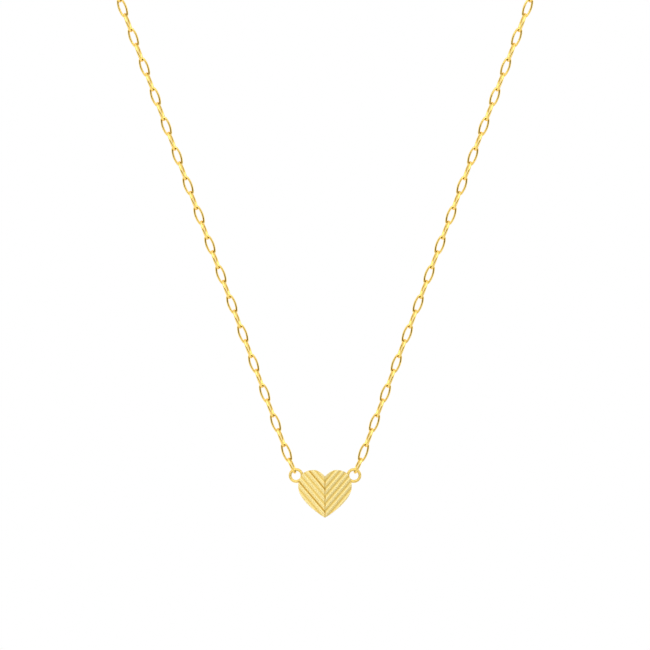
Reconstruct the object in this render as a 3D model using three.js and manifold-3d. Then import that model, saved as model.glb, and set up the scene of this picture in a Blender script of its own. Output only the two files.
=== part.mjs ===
// Heart pendant necklace on a fine oval cable chain, with a lobster claw fastener.
// Millimetres, +Z up. The closed loop hangs in the XZ plane and its front faces -Y.
// The origin is the middle of the fastener, at the top of the loop, where it rests on the neck.

import * as THREE from 'three';
import * as BufferGeometryUtils from 'three/addons/utils/BufferGeometryUtils.js';
import Module from 'manifold-3d';

const wasm = await Module();
wasm.setup();

// ---------------------------------------------------------------- driving sizes

// chain
const LINK_WIRE = 0.34;
const LINK_LENGTH = 3.07;
const LINK_WIDTH = 1.38;
const LINK_BEND_PLAY = 0.02;
const LINK_PLAY = 0.028;
const END_LINK_LENGTH = 2.62;
const RING_BEND_PLAY = 0.032;
const FASTENER_BEND_PLAY = 0.04;
const WIDEST_BEND = 0.97;
const EDGE_LINK_TWIST = THREE.MathUtils.degToRad(20);
const LINKS_PER_SIDE = 84;
const LOOSE_LINKS = 18;
const STRAND_LEAN = THREE.MathUtils.degToRad(20.25);
const STRAND_OFFSET = 0.15;
const RUN_DIAMETER = 1.3;
const RUN_GAP = 0.3;
const STRAND_RUN_STEPS = 4;
const NECK_RUN_STEPS = 22;

// pendant
const RING_OUTSET = 0.32;
const RING_HOLE = 1.33;
const RING_WIRE = 0.456;
const HEART_HALF_WIDTH = 4;
const HEART_LOBE_X = 1.7;
const HEART_LOBE_Z = 0.82;
const HEART_SIDE_Z = -1.66;
const HEART_NOTCH_Z = -0.13;
const HEART_TIP_Z = -6.31;
const HEART_FRONT = 0.52;
const HEART_BACK = 0.38;
const HEART_EDGE = 0.06;
const NOTCH_HANDLE = [0.42, 0.43];
const LOBE_HANDLES = [0.7, 0.9];
const SHOULDER_HANDLE = [0.1, 2.11];
const BELLY_HANDLE = 1.94;
const TIP_HANDLE = [1.2, 0.71];
const PLEAT_PITCH = 1.13;
const FIRST_VALLEY_DROP = 0.77;
const PLEAT_DEPTH = 0.16;
const PLEAT_CLEAR = 0.04;
const VALLEY_UPPER = 0.5;
const VALLEY_LOWER = 0.36;
const PLEAT_ANGLE = THREE.MathUtils.degToRad(49.5);
const SEAT_GAP = 0.03;

// fastener
const JUMP_RING_DIAMETER = 3.2;
const JUMP_RING_WIRE = 0.45;
const END_RING_DIAMETER = 3.6;
const END_RING_WIRE = 0.5;
const CLASP_LENGTH = 8.6;
const CLASP_TAIL_RADIUS = 1.05;
const CLASP_TAIL_THICKNESS = 0.9;
const CLASP_HEAD_RADIUS = 2.1;
const CLASP_THICKNESS = 1.6;
const CLASP_NOSE_THICKNESS = 1.1;
const CLASP_NOSE_STEP = 0.35;
const CLASP_EYE_RADIUS = 0.6;
const HOOK_HOLE_RADIUS = 1.2;
const HOOK_NECK_RADIUS = 0.75;
const HOOK_NECK_LENGTH = 1.6;
const MOUTH_SETBACK = 0.5;
const MOUTH_REACH = 0.2;
const LEVER_THICKNESS = 0.8;
const LEVER_PIVOT = new THREE.Vector2(3.35, 0.75);
const LEVER_HUB_RADIUS = 0.5;
const GATE_ROOT = [0.55, -0.3];
const GATE_TIP_HEIGHTS = [0.55, 1.2];
const GATE_TIP_SLANT = 0.08;
const GATE_CLEAR = 0.12;
const THUMB_TAB = [[0.9, 0.85], [0.45, 0.95], [0.1, 1.95], [-0.45, 2.05], [-0.6, 1.7]];
const PIN_RADIUS = 0.2;
const PIN_PLAY = 0.04;
const SLOT_PLAY = 0.05;
const SLOT_FLOOR = -0.32;
const SLOT_WALL = 0.35;
const SLOT_SETBACK = 1;
const TAIL_STEP = 0.25;
const SPRING_WIRE = 0.1;
const SPRING_RADIUS = 0.22;
const SPRING_TURNS = 3;
const SPRING_OFFSET = 0.75;
const RING_PLAY = 0.03;

// facets
const LINK_WIRE_SIDES = 6;
const LINK_STEPS = 12;
const RUN_SIDES = 8;
const RING_WIRE_SIDES = 8;
const RING_STEPS = 20;
const PIN_SIDES = 12;
const SPRING_STEPS_PER_TURN = 12;
const SPRING_WIRE_SEGMENTS = 5;
const HEART_SEGMENTS = 9;
const CLASP_SEGMENTS = 16;
const HOOK_SEGMENTS = 12;
const HUB_SEGMENTS = 5;
const EYE_SIDES = 16;

// ---------------------------------------------------------------- worked out from them

const linkReach = (LINK_LENGTH - LINK_WIRE) / 2;
const endLinkReach = (END_LINK_LENGTH - LINK_WIRE) / 2;
const hookStep = LINK_WIRE + LINK_PLAY;
const linkPitch = 2 * linkReach - hookStep;

// a link's end bends round the thicker of the two wires that it hooks
const linkBend = LINK_WIRE + LINK_BEND_PLAY;
const endLinkBend = (LINK_WIRE + RING_WIRE) / 2 + RING_BEND_PLAY;
const fastenerLinkBend = (LINK_WIRE + Math.max(JUMP_RING_WIRE, END_RING_WIRE)) / 2 + FASTENER_BEND_PLAY;

const ringRadius = (RING_HOLE + RING_WIRE) / 2;
const ringX = HEART_HALF_WIDTH + RING_OUTSET;

// The strand's line passes outside the ring's centre. The first link hooks the ring on the line
// through that centre, and leans out to the strand's line.
const hookReach = RING_HOLE / 2 - RING_PLAY - LINK_WIRE / 2;
const firstLinkLean = STRAND_LEAN + Math.asin(STRAND_OFFSET / (2 * endLinkReach));
const firstLinkRise = Math.sqrt((2 * endLinkReach) ** 2 - STRAND_OFFSET ** 2);
const secondLink = hookReach + firstLinkRise - hookStep + linkReach;
const strandX = ringX + STRAND_OFFSET * Math.cos(STRAND_LEAN);

const jumpRadius = (JUMP_RING_DIAMETER - JUMP_RING_WIRE) / 2;
const endRadius = (END_RING_DIAMETER - END_RING_WIRE) / 2;
const headX = CLASP_LENGTH - CLASP_HEAD_RADIUS;
// how far a ring's wire bows over the thickness of the wall that it passes
const bow = (radius, thickness) => radius - Math.sqrt(radius ** 2 - (thickness / 2) ** 2);
const tailSeat = CLASP_TAIL_RADIUS - CLASP_EYE_RADIUS + RING_PLAY + JUMP_RING_WIRE / 2
  + bow(jumpRadius, CLASP_TAIL_THICKNESS);
const noseSeat = headX + HOOK_HOLE_RADIUS - RING_PLAY - END_RING_WIRE / 2
  - bow(endRadius, CLASP_NOSE_THICKNESS);
const chainToJump = (LINK_WIRE + JUMP_RING_WIRE) / 2 + RING_PLAY;
const chainToEnd = (LINK_WIRE + END_RING_WIRE) / 2 + RING_PLAY;
const fastenerSpan = 2 * jumpRadius - chainToJump - tailSeat + noseSeat + 2 * endRadius - chainToEnd;

const chainEndX = fastenerSpan / 2;
const jumpX = -chainEndX - chainToJump + jumpRadius;
const tailX = jumpX + jumpRadius - tailSeat;
const endRingX = chainEndX + chainToEnd - endRadius;

// the side of the loop: a straight strand, a round turn over the neck, one link on the flat top
const sideLength = secondLink + (LINKS_PER_SIDE - 2) * linkPitch + linkReach;
const topHalf = chainEndX + linkPitch;
const turnAngle = Math.PI / 2 + STRAND_LEAN;
const neckRadius = (sideLength - linkPitch - (topHalf - strandX) / Math.sin(STRAND_LEAN))
  / (turnAngle + 1 / Math.tan(STRAND_LEAN));
const strandLength = (topHalf + neckRadius * Math.cos(STRAND_LEAN) - strandX) / Math.sin(STRAND_LEAN);
const strandZ = -neckRadius * (1 + Math.sin(STRAND_LEAN)) - strandLength * Math.cos(STRAND_LEAN);
const ringZ = strandZ + STRAND_OFFSET * Math.sin(STRAND_LEAN);

// ---------------------------------------------------------------- solids and meshes

const gold = { color: 0xeccb73, roughness: 0.2, metalness: 1 };
const brightGold = { color: 0xf0d27f, roughness: 0.16, metalness: 1 };
const steel = { color: 0xc9c4b8, roughness: 0.3, metalness: 1 };

const necklace = new THREE.Group();

function addMesh(name, geometry, finish, parent = necklace) {
  const mesh = new THREE.Mesh(geometry, new THREE.MeshStandardMaterial(finish));
  mesh.name = name;
  parent.add(mesh);
  return mesh;
}

function toSolid(geometry) {
  const bare = geometry.clone();
  bare.deleteAttribute('normal');
  bare.deleteAttribute('uv');
  const merged = BufferGeometryUtils.mergeVertices(bare, 1e-4);
  return new wasm.Manifold(new wasm.Mesh({
    numProp: 3,
    vertProperties: new Float32Array(merged.attributes.position.array),
    triVerts: new Uint32Array(merged.index.array),
  }));
}

function toGeometry(solid) {
  const mesh = solid.getMesh();
  const geometry = new THREE.BufferGeometry();
  geometry.setAttribute('position', new THREE.BufferAttribute(new Float32Array(mesh.vertProperties), 3));
  geometry.setIndex(new THREE.BufferAttribute(new Uint32Array(mesh.triVerts), 1));
  return geometry;
}

// a flat outline in x and z, made solid from y = front to y = back
function slab(shape, front, back, curveSegments) {
  const geometry = new THREE.ExtrudeGeometry(shape, {
    depth: back - front,
    bevelEnabled: false,
    curveSegments,
  });
  geometry.rotateX(Math.PI / 2);
  geometry.translate(0, back, 0);
  return geometry;
}

// a round bar along y
function barAlongY(radius, front, back, x, z, sides) {
  const geometry = new THREE.CylinderGeometry(radius, radius, back - front, sides);
  geometry.translate(x, (front + back) / 2, z);
  return geometry;
}

function box(low, high) {
  const geometry = new THREE.BoxGeometry(high[0] - low[0], high[1] - low[1], high[2] - low[2]);
  geometry.translate((low[0] + high[0]) / 2, (low[1] + high[1]) / 2, (low[2] + high[2]) / 2);
  return geometry;
}

// ---------------------------------------------------------------- the loop's path

// distance along one side from beside the ring's centre, as a place and an upward direction;
// side is -1 or +1
function placeOnSide(distance, side) {
  const lean = STRAND_LEAN;
  if (distance <= strandLength) {
    const x = strandX + distance * Math.sin(lean);
    const z = strandZ + distance * Math.cos(lean);
    return framed(x, z, Math.sin(lean), Math.cos(lean), side);
  }
  const turned = Math.min((distance - strandLength) / neckRadius, turnAngle);
  const around = turned - lean;
  const beyond = Math.max(distance - strandLength - turnAngle * neckRadius, 0);
  const x = topHalf + neckRadius * Math.cos(around) - beyond;
  const z = -neckRadius + neckRadius * Math.sin(around);
  return framed(x, z, -Math.sin(around), Math.cos(around), side);
}

function framed(x, z, alongX, alongZ, side) {
  return {
    point: new THREE.Vector3(side * x, 0, z),
    along: new THREE.Vector3(side * alongX, 0, alongZ),
  };
}

class SidePath extends THREE.Curve {
  constructor(from, to, side) {
    super();
    this.from = from;
    this.to = to;
    this.side = side;
  }

  getPoint(t) {
    return placeOnSide(this.from + (this.to - this.from) * t, this.side).point;
  }
}

// ---------------------------------------------------------------- chain links

// the middle of a link's wire: two tight end arcs joined by two shallow side arcs
class LinkOval extends THREE.Curve {
  constructor(reach, endRadius) {
    super();
    const half = (LINK_WIDTH - LINK_WIRE) / 2;
    // a bend as wide as the link would leave no side arcs
    const bend = Math.min(endRadius, WIDEST_BEND * half);
    this.endRadius = bend;
    this.endX = reach - bend;
    this.sideRadius = (this.endX ** 2 + half ** 2 - bend ** 2) / (2 * (half - bend));
    this.sideZ = this.sideRadius - half;
    this.endSweep = Math.atan2(this.sideZ, this.endX);
  }

  // a third of the way round is spent on each end arc's half turn, a sixth on each side arc
  getPoint(t) {
    const turn = ((t % 1) + 1) % 1;
    const half = turn < 0.5 ? 1 : -1;
    const within = (turn % 0.5) * 2;
    const sweep = this.endSweep;
    if (within <= 1 / 3) return this.onEnd(half, sweep * within * 3);
    if (within >= 2 / 3) return this.onEnd(-half, -sweep * (1 - within) * 3);
    const across = (within - 0.5) * 6 * (Math.PI / 2 - sweep);
    return new THREE.Vector3(
      -half * this.sideRadius * Math.sin(across),
      half * (this.sideRadius * Math.cos(across) - this.sideZ),
      0,
    );
  }

  onEnd(half, angle) {
    return new THREE.Vector3(
      half * (this.endX + this.endRadius * Math.cos(angle)),
      half * this.endRadius * Math.sin(angle),
      0,
    );
  }

  getPointAt(u) {
    return this.getPoint(u);
  }

  getTangentAt(u) {
    return this.getPoint(u + 1e-4).sub(this.getPoint(u - 1e-4)).normalize();
  }
}

function linkShape(reach, bendRadius) {
  const oval = new LinkOval(reach, bendRadius);
  return new THREE.TubeGeometry(oval, LINK_STEPS, LINK_WIRE / 2, LINK_WIRE_SIDES, true);
}

const linkGeometry = linkShape(linkReach, linkBend);
const endLinkGeometry = linkShape(endLinkReach, endLinkBend);
const fastenerLinkGeometry = linkShape(linkReach, fastenerLinkBend);

function geometryOfLink(number) {
  if (number === 1) return endLinkGeometry;
  return number === LINKS_PER_SIDE ? fastenerLinkGeometry : linkGeometry;
}

function sideName(side) {
  return side < 0 ? 'left' : 'right';
}

function linkCentre(number) {
  return secondLink + (number - 2) * linkPitch;
}

function placeFirstLink(side) {
  const x = ringX + hookReach * Math.sin(STRAND_LEAN) + endLinkReach * Math.sin(firstLinkLean);
  const z = ringZ + hookReach * Math.cos(STRAND_LEAN) + endLinkReach * Math.cos(firstLinkLean);
  return framed(x, z, Math.sin(firstLinkLean), Math.cos(firstLinkLean), side);
}

// odd links stand edge-on, turned a little about the strand; even links lie flat in the loop's plane
function addLink(name, number, side) {
  const first = number === 1;
  const { point, along } = first ? placeFirstLink(side) : placeOnSide(linkCentre(number), side);
  const front = new THREE.Vector3(0, -1, 0);
  const across = new THREE.Vector3().crossVectors(front, along);
  const normal = front;
  if (number % 2 === 1) {
    normal.copy(across).applyAxisAngle(along, side * EDGE_LINK_TWIST);
  }
  const width = new THREE.Vector3().crossVectors(normal, along);
  const mesh = addMesh(name, geometryOfLink(number), gold);
  mesh.position.copy(point);
  mesh.quaternion.setFromRotationMatrix(new THREE.Matrix4().makeBasis(along, width, normal));
}

// the rest of a side's links as a plain round run, from above the last single link to the fastener
function addRun(name, from, to, side, steps) {
  const section = new THREE.Shape();
  for (let i = 0; i < RUN_SIDES; i += 1) {
    const angle = (i / RUN_SIDES) * 2 * Math.PI;
    const x = (RUN_DIAMETER / 2) * Math.cos(angle);
    const y = (RUN_DIAMETER / 2) * Math.sin(angle);
    if (i === 0) section.moveTo(x, y);
    else section.lineTo(x, y);
  }
  const geometry = new THREE.ExtrudeGeometry(section, {
    steps,
    bevelEnabled: false,
    extrudePath: new SidePath(from, to, side),
  });
  addMesh(name, geometry, gold);
}

const lastSingleLink = LOOSE_LINKS + 1;
const runStart = linkCentre(lastSingleLink) + linkReach + LINK_WIRE / 2 + RUN_GAP;
const runEnd = sideLength - 2 * linkReach - LINK_WIRE / 2 - RUN_GAP;

for (const side of [-1, 1]) {
  const where = sideName(side);
  for (let number = 1; number <= lastSingleLink; number += 1) {
    addLink(`link_${where}_${String(number).padStart(2, '0')}`, number, side);
  }
  addRun(`chain_upper_${where}`, runStart, strandLength - RUN_GAP / 2, side, STRAND_RUN_STEPS);
  addRun(`chain_neck_${where}`, strandLength + RUN_GAP / 2, runEnd, side, NECK_RUN_STEPS);
  addLink(`fastener_link_${where}`, LINKS_PER_SIDE, side);
}

// ---------------------------------------------------------------- pendant

const pendant = new THREE.Group();
pendant.position.set(0, 0, ringZ);
necklace.add(pendant);

function heartOutline() {
  const heart = new THREE.Shape();
  heart.moveTo(0, HEART_NOTCH_Z);
  for (const side of [1, -1]) {
    const lobe = [side * HEART_LOBE_X, HEART_LOBE_Z];
    const flank = [side * HEART_HALF_WIDTH, HEART_SIDE_Z];
    const notch = [
      side * NOTCH_HANDLE[0], HEART_NOTCH_Z + NOTCH_HANDLE[1],
      side * (HEART_LOBE_X - LOBE_HANDLES[0]), HEART_LOBE_Z,
    ];
    const shoulder = [
      side * (HEART_LOBE_X + LOBE_HANDLES[1]), HEART_LOBE_Z,
      side * (HEART_HALF_WIDTH + SHOULDER_HANDLE[0]), HEART_SIDE_Z + SHOULDER_HANDLE[1],
    ];
    const belly = [
      side * HEART_HALF_WIDTH, HEART_SIDE_Z - BELLY_HANDLE,
      side * TIP_HANDLE[0], HEART_TIP_Z + TIP_HANDLE[1],
    ];
    if (side > 0) {
      heart.bezierCurveTo(...notch, ...lobe);
      heart.bezierCurveTo(...shoulder, ...flank);
      heart.bezierCurveTo(...belly, 0, HEART_TIP_Z);
    } else {
      heart.bezierCurveTo(belly[2], belly[3], belly[0], belly[1], ...flank);
      heart.bezierCurveTo(shoulder[2], shoulder[3], shoulder[0], shoulder[1], ...lobe);
      heart.bezierCurveTo(notch[2], notch[3], notch[0], notch[1], 0, HEART_NOTCH_Z);
    }
  }
  return heart;
}

// one V groove of the pleated front, rising outward from the centre line
function pleatGroove(height, side) {
  const flat = PLEAT_PITCH * Math.cos(PLEAT_ANGLE);
  const section = new THREE.Shape();
  section.moveTo(0, -PLEAT_DEPTH);
  section.lineTo(side * VALLEY_UPPER * flat, PLEAT_CLEAR);
  section.lineTo(-side * VALLEY_LOWER * flat, PLEAT_CLEAR);
  const groove = new THREE.ExtrudeGeometry(section, { depth: 2 * HEART_HALF_WIDTH, bevelEnabled: false });
  const outward = new THREE.Vector3(side * Math.cos(PLEAT_ANGLE), 0, Math.sin(PLEAT_ANGLE));
  const front = new THREE.Vector3(0, -1, 0);
  const across = new THREE.Vector3().crossVectors(front, outward);
  const basis = new THREE.Matrix4().makeBasis(across, front, outward);
  basis.setPosition(-outward.x, -HEART_FRONT, height - outward.z);
  groove.applyMatrix4(basis);
  return groove;
}

function heartPlate() {
  const outline = new THREE.ExtrudeGeometry(heartOutline(), {
    depth: HEART_FRONT + HEART_BACK - 2 * HEART_EDGE,
    bevelEnabled: true,
    bevelThickness: HEART_EDGE,
    bevelSize: HEART_EDGE,
    bevelOffset: -HEART_EDGE,
    bevelSegments: 1,
    curveSegments: HEART_SEGMENTS,
  });
  outline.rotateX(Math.PI / 2);
  outline.translate(0, HEART_BACK - HEART_EDGE, 0);
  let plate = toSolid(outline);
  const reach = 2 * HEART_HALF_WIDTH;
  const tall = 2 * (HEART_LOBE_Z - HEART_TIP_Z);
  const lowestValley = HEART_TIP_Z - 2 * PLEAT_PITCH;
  const pocketRadius = ringRadius + RING_WIRE / 2 + SEAT_GAP;
  const pocketFront = -RING_WIRE / 2 - SEAT_GAP;
  for (const side of [-1, 1]) {
    const low = side < 0 ? -reach : 0;
    const half = toSolid(box([low, -reach, -tall], [low + reach, 0, tall]));
    for (let z = HEART_NOTCH_Z - FIRST_VALLEY_DROP; z > lowestValley; z -= PLEAT_PITCH) {
      plate = plate.subtract(toSolid(pleatGroove(z, side)).intersect(half));
    }
    const x = side * ringX;
    plate = plate.subtract(toSolid(barAlongY(RING_HOLE / 2, -reach, reach, x, 0, RING_STEPS)));
    plate = plate.subtract(toSolid(barAlongY(pocketRadius, pocketFront, reach, x, 0, RING_STEPS)));
  }
  return toGeometry(plate);
}

addMesh('heart_plate', heartPlate(), brightGold, pendant);

function ringShape(radius, wire) {
  return new THREE.TorusGeometry(radius, wire / 2, RING_WIRE_SIDES, RING_STEPS);
}

for (const side of [-1, 1]) {
  const ring = ringShape(ringRadius, RING_WIRE);
  ring.rotateX(Math.PI / 2);
  const mesh = addMesh(`shoulder_ring_${sideName(side)}`, ring, gold, pendant);
  mesh.position.set(side * ringX, 0, 0);
}

// ---------------------------------------------------------------- fastener

const clasp = new THREE.Group();
clasp.position.set(tailX, 0, 0);
necklace.add(clasp);

// two circles on the x axis and their outer tangents
function taperedOutline(x1, r1, x2, r2) {
  const touch = Math.acos((r1 - r2) / (x2 - x1));
  const outline = new THREE.Shape();
  outline.absarc(x2, 0, r2, -touch, touch, false);
  outline.absarc(x1, 0, r1, touch, 2 * Math.PI - touch, false);
  outline.closePath();
  return outline;
}

const mouthStart = headX - HOOK_NECK_LENGTH - MOUTH_SETBACK;
const mouthEnd = headX + MOUTH_REACH;
const tailEnd = CLASP_TAIL_RADIUS + CLASP_EYE_RADIUS + TAIL_STEP;
const slotStart = tailEnd + SLOT_WALL;

// the stretch from x = low to x = high of a solid, faced down to a thickness about y = 0
function thinned(solid, low, high, thickness) {
  const reach = 2 * CLASP_HEAD_RADIUS;
  const front = toSolid(box([low, -reach, -reach], [high, -thickness / 2, reach]));
  const back = toSolid(box([low, thickness / 2, -reach], [high, reach, reach]));
  return solid.subtract(front).subtract(back);
}

function claspBody() {
  const half = CLASP_THICKNESS / 2;
  const through = CLASP_THICKNESS;
  const above = 2 * CLASP_HEAD_RADIUS;
  const outer = taperedOutline(CLASP_TAIL_RADIUS, CLASP_TAIL_RADIUS, headX, CLASP_HEAD_RADIUS);
  const hook = taperedOutline(headX - HOOK_NECK_LENGTH, HOOK_NECK_RADIUS, headX, HOOK_HOLE_RADIUS);
  const eye = barAlongY(CLASP_EYE_RADIUS, -through, through, CLASP_TAIL_RADIUS, 0, EYE_SIDES);
  const pivot = LEVER_PIVOT;
  const pinHole = barAlongY(PIN_RADIUS + PIN_PLAY, -through, through, pivot.x, pivot.y, PIN_SIDES);
  const slot = LEVER_THICKNESS / 2 + SLOT_PLAY;
  let body = toSolid(slab(outer, -half, half, CLASP_SEGMENTS));
  body = body.subtract(toSolid(slab(hook, -through, through, HOOK_SEGMENTS)));
  body = body.subtract(toSolid(eye));
  body = thinned(body, -through, tailEnd, CLASP_TAIL_THICKNESS);
  body = thinned(body, headX + CLASP_NOSE_STEP, CLASP_LENGTH + through, CLASP_NOSE_THICKNESS);
  body = body.subtract(toSolid(box([mouthStart, -through, 0], [mouthEnd, through, above])));
  body = body.subtract(toSolid(box([slotStart, -slot, SLOT_FLOOR], [headX - SLOT_SETBACK, slot, above])));
  return toGeometry(body.subtract(toSolid(pinHole)));
}

// the gate that closes the hook, with its thumb tab, in one flat outline
function claspLever() {
  const p = LEVER_PIVOT;
  const tip = mouthEnd - GATE_CLEAR;
  const shape = new THREE.Shape();
  shape.moveTo(p.x, p.y - LEVER_HUB_RADIUS);
  shape.lineTo(p.x + GATE_ROOT[0], p.y + GATE_ROOT[1]);
  shape.lineTo(tip, p.y + GATE_TIP_HEIGHTS[0]);
  shape.lineTo(tip - GATE_TIP_SLANT, p.y + GATE_TIP_HEIGHTS[1]);
  for (const [x, z] of THUMB_TAB) shape.lineTo(p.x + x, p.y + z);
  shape.lineTo(p.x - LEVER_HUB_RADIUS, p.y);
  shape.absarc(p.x, p.y, LEVER_HUB_RADIUS, Math.PI, 1.5 * Math.PI, false);
  const half = LEVER_THICKNESS / 2;
  const lever = toSolid(slab(shape, -half, half, HUB_SEGMENTS));
  const bore = barAlongY(PIN_RADIUS + 1.5 * PIN_PLAY, -2 * half, 2 * half, p.x, p.y, PIN_SIDES);
  return toGeometry(lever.subtract(toSolid(bore)));
}

class SpringHelix extends THREE.Curve {
  constructor(x, low, high) {
    super();
    this.x = x;
    this.low = low;
    this.high = high;
  }

  getPoint(t) {
    const angle = t * SPRING_TURNS * 2 * Math.PI;
    return new THREE.Vector3(
      this.x + SPRING_RADIUS * Math.cos(angle),
      SPRING_RADIUS * Math.sin(angle),
      this.low + (this.high - this.low) * t,
    );
  }
}

function claspSpring() {
  const wire = new THREE.Shape();
  wire.absarc(0, 0, SPRING_WIRE / 2, 0, 2 * Math.PI, false);
  const low = SLOT_FLOOR + SEAT_GAP + SPRING_WIRE / 2;
  const high = LEVER_PIVOT.y + GATE_ROOT[1] - 2 * SEAT_GAP - SPRING_WIRE;
  return new THREE.ExtrudeGeometry(wire, {
    steps: SPRING_TURNS * SPRING_STEPS_PER_TURN,
    curveSegments: SPRING_WIRE_SEGMENTS,
    bevelEnabled: false,
    extrudePath: new SpringHelix(LEVER_PIVOT.x + SPRING_OFFSET, low, high),
  });
}

addMesh('clasp_body', claspBody(), brightGold, clasp);
addMesh('clasp_lever', claspLever(), brightGold, clasp);
const pinLength = CLASP_THICKNESS - 2 * SEAT_GAP;
const pin = barAlongY(PIN_RADIUS, -pinLength / 2, pinLength / 2, LEVER_PIVOT.x, LEVER_PIVOT.y, PIN_SIDES);
addMesh('clasp_pin', pin, gold, clasp);
addMesh('clasp_spring', claspSpring(), steel, clasp);

// both rings lie level, so they cross the upright claw and the upright last links
const jumpRing = addMesh('jump_ring', ringShape(jumpRadius, JUMP_RING_WIRE), gold);
jumpRing.position.set(jumpX, 0, 0);
const endRing = addMesh('end_ring', ringShape(endRadius, END_RING_WIRE), gold);
endRing.position.set(endRingX, 0, 0);

export default necklace;
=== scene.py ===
"""A fine gold heart necklace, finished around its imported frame.

Every piece is in metres, in the frame's own axes: the loop hangs in the XZ plane, its front faces
-Y, and the origin is the middle of the fastener.
"""

import math

import bmesh
import bpy
import numpy as np
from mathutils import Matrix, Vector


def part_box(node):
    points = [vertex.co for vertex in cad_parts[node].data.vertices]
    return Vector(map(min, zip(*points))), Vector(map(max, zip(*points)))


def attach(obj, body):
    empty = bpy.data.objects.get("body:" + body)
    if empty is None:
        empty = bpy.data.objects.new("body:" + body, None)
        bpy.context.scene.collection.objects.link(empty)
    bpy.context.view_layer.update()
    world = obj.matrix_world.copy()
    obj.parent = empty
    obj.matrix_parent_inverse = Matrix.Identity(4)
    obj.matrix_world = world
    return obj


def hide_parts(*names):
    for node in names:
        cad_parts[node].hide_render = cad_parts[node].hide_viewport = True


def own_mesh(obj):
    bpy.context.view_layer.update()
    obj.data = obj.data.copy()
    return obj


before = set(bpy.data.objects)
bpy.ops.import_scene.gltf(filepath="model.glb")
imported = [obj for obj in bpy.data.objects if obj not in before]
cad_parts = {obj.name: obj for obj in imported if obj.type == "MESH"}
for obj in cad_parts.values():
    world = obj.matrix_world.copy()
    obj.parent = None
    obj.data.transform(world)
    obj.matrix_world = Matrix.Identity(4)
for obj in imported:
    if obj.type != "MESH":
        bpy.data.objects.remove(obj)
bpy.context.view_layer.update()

bl_info = {
    "name": "Heart Necklace",
    "version": (1, 0, 0),
    "blender": (4, 5, 0),
    "location": "View3D > Sidebar > Necklace",
    "description": "Builds the links, heart, fastener and studio of a fine gold necklace",
    "category": "Add Mesh",
}

MM = 0.001
SIDES = {"left": -1, "right": 1}
SINGLE_LINKS = 19


# ---------------------------------------------------------------- places taken from the frame

def centre_of(node):
    """The middle of a frame node's box, as an array."""
    low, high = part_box(node)
    return np.array((low + high) / 2)


def size_of(node):
    """The three extents of a frame node's box."""
    low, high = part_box(node)
    return np.array(high - low)


class LoopSide:
    """One side of the loop: a straight leaning strand, a round turn over the neck and a flat top."""

    def __init__(self, name):
        self.side = SIDES[name]
        self.first = centre_of(f"link_{name}_01")
        second = centre_of(f"link_{name}_02")
        last = centre_of(f"link_{name}_{SINGLE_LINKS - 1}")
        step = (last - second) / (SINGLE_LINKS - 3)
        self.pitch = float(np.linalg.norm(step))
        self.lean = math.atan2(abs(step[0]), step[2])
        strand = step / self.pitch
        self.start = float((second - centre_of(f"shoulder_ring_{name}")) @ strand)
        self.foot = second - self.start * strand
        fastener = centre_of(f"fastener_link_{name}")
        reach = float(size_of(f"fastener_link_{name}")[0]) / 2
        wire = float(size_of(f"fastener_link_{name}")[1])
        self.top_half = abs(fastener[0]) - (reach - wire / 2) + self.pitch
        foot_x = abs(self.foot[0])
        sin, cos = math.sin(self.lean), math.cos(self.lean)
        self.radius = (-self.foot[2] * sin - (self.top_half - foot_x) * cos) / (1 + sin)
        self.straight = (self.top_half + self.radius * cos - foot_x) / sin
        turned = (math.pi / 2 + self.lean) * self.radius
        whole = self.straight + turned + self.top_half - abs(fastener[0])
        self.links = 2 + round((whole - self.start) / self.pitch)

    def at(self, distance):
        """The point and the upward direction at a distance from beside the ring along the side.

        Up to the end of the straight strand the point runs along the lean. From there its angle
        about the turn's middle grows by distance over radius, and after a quarter turn and the
        lean it runs level towards the fastener.
        """
        sin, cos = math.sin(self.lean), math.cos(self.lean)
        quarter = math.pi / 2 + self.lean
        turned = min(max((distance - self.straight) / self.radius, 0), quarter)
        beyond = max(distance - self.straight - quarter * self.radius, 0)
        if distance <= self.straight:
            x = abs(self.foot[0]) + distance * sin
            z = self.foot[2] + distance * cos
        else:
            x = self.top_half + self.radius * math.cos(turned - self.lean) - beyond
            z = -self.radius + self.radius * math.sin(turned - self.lean)
        around = turned - self.lean
        along = np.array((-self.side * math.sin(around), 0, math.cos(around)))
        return np.array((self.side * x, 0, z)), along


LOOP = {name: LoopSide(name) for name in SIDES}


# ---------------------------------------------------------------- meshes

def grid_faces(rows, columns, wrap_rows=False, wrap_columns=False):
    """The quads between the points of a rows by columns grid; a wrapped direction meets itself."""
    i = np.arange(rows if wrap_rows else rows - 1)
    j = np.arange(columns if wrap_columns else columns - 1)
    a, b = (m.ravel() for m in np.meshgrid(i, j, indexing="ij"))
    c, d = (a + 1) % rows, (b + 1) % columns
    return np.stack([a * columns + b, c * columns + b, c * columns + d, a * columns + d], 1)


def new_mesh(name, points, faces, **attributes):
    """A mesh from arrays of points and quads, with any named attributes of its points."""
    mesh = bpy.data.meshes.new(name)
    mesh.vertices.add(len(points))
    mesh.vertices.foreach_set("co", np.asarray(points, np.float32).ravel())
    width = faces.shape[1]
    mesh.loops.add(faces.size)
    mesh.loops.foreach_set("vertex_index", faces.astype(np.int32).ravel())
    mesh.polygons.add(len(faces))
    mesh.polygons.foreach_set("loop_start", np.arange(0, faces.size, width, dtype=np.int32))
    mesh.polygons.foreach_set("use_smooth", np.ones(len(faces), bool))
    mesh.update(calc_edges=True)
    for label, values in attributes.items():
        values = np.asarray(values, np.float32)
        kind, field = ("FLOAT", "value") if values.ndim == 1 else ("FLOAT_VECTOR", "vector")
        layer = mesh.attributes.new(label, kind, "POINT")
        layer.data.foreach_set(field, values.ravel())
    return mesh


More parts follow.
